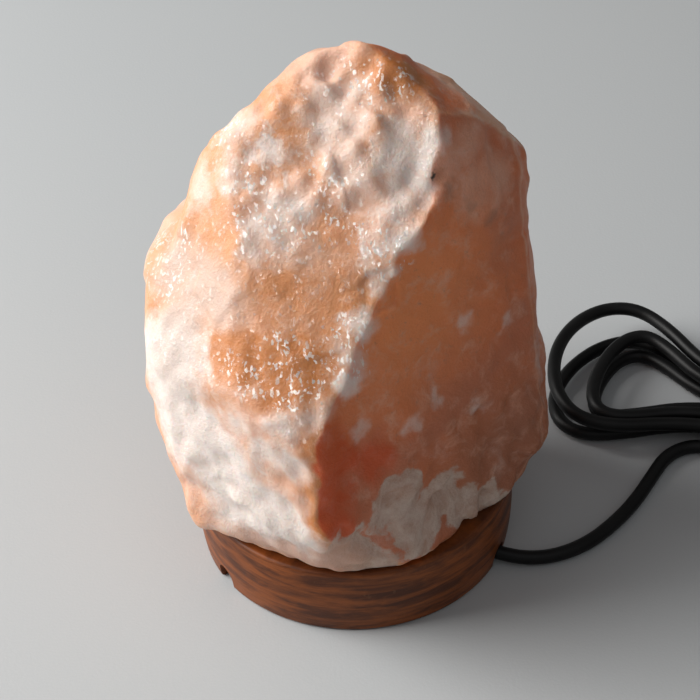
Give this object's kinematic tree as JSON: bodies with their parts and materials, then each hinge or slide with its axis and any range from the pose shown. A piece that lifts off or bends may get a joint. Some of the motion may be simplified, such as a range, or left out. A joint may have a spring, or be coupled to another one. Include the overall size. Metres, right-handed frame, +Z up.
{
  "type": "salt crystal lamp",
  "caption": "Table lamp made of a rough hewn block of rock salt, hollowed for a small bulb, on a turned wooden base with a clip-in bulb holder and a switched mains lead.",
  "frame": {"origin": "centre of the wooden base where it stands on the table", "axes": "+Z up; +X to the right of the view, the side on which the lead leaves the base; -Y towards the viewer"},
  "size_m": [0.3231, 0.2471, 0.2046],
  "materials": {
    "rock_salt": "rough hewn, slightly translucent",
    "stained_wood": "stained and varnished",
    "cord_sheath": "satin",
    "black_plastic": "satin",
    "copper_core": "bare",
    "white_ceramic": "unglazed",
    "brass": "pressed",
    "steel": "zinc plated",
    "nickel_plate": "nickel plated",
    "grey_nylon": "moulded",
    "bulb_lead": "dull",
    "black_glass": "glossy",
    "clear_glass": "clear",
    "filament_metal": "drawn"
  },
  "bodies": {
    "holder": {"holder_body": "black_plastic", "holder_cap": "black_plastic", "cord_relief": "black_plastic", "cord_clamp": "black_plastic", "clamp_screws": "steel", "cord_in_holder": "cord_sheath", "live_wire": "copper_core", "neutral_wire": "copper_core", "contact_block": "white_ceramic", "holder_terminals": "brass", "terminal_screws": "steel", "screw_shell": "brass", "centre_contact": "brass", "spring_clips": "steel", "cord_lead": "cord_sheath", "cord_hank": "cord_sheath", "hank_tie": "black_plastic", "cord_tail": "cord_sheath", "cord_in_switch": "cord_sheath", "switch_base": "black_plastic", "switch_cover": "black_plastic", "switch_screws": "steel", "switch_clamps": "black_plastic", "switch_clamp_screws": "steel", "switch_contacts": "brass", "switch_live_wires": "copper_core", "switch_neutral_wire": "copper_core", "cord_plug_run": "cord_sheath", "plug_body": "black_plastic", "plug_pins": "nickel_plate", "pin_sleeves": "black_plastic", "plug_relief": "black_plastic"},
    "stone": {"wooden_base": "stained_wood", "salt_crystal": "rock_salt", "wall_plugs": "grey_nylon", "base_screws": "steel"},
    "bulb": {"bulb_contact": "bulb_lead", "bulb_insulator": "black_glass", "bulb_cap": "nickel_plate", "bulb_glass": "clear_glass", "glass_stem": "clear_glass", "filament_supports": "filament_metal", "filament": "filament_metal"},
    "rocker": {"rocker": "black_plastic", "rocker_plunger": "black_plastic"},
    "contact": {"moving_contact": "brass"}
  },
  "joints": [
    {"name": "lamp_lift", "type": "slide", "parent": "holder", "child": "stone", "axis": [0, 0, 1], "range_m": [0, 0.11]},
    {"name": "bulb_out", "type": "slide", "parent": "holder", "child": "bulb", "axis": [0, 0, 1], "range_m": [0, 0.0125]},
    {"name": "switch_rocker", "type": "hinge", "parent": "holder", "child": "rocker", "pos_m": [0.1747, -0.073, 0.0142], "axis": [-1, 0, 0], "range_deg": [0, 18]},
    {"name": "switch_contact", "type": "hinge", "parent": "holder", "child": "contact", "pos_m": [0.1747, -0.073, 0.0073], "axis": [-1, 0, 0], "range_deg": [-16, 0]}
  ],
  "couplings": [
    {"joint": "switch_contact", "follows": "switch_rocker", "ratio": -0.88889}
  ]
}
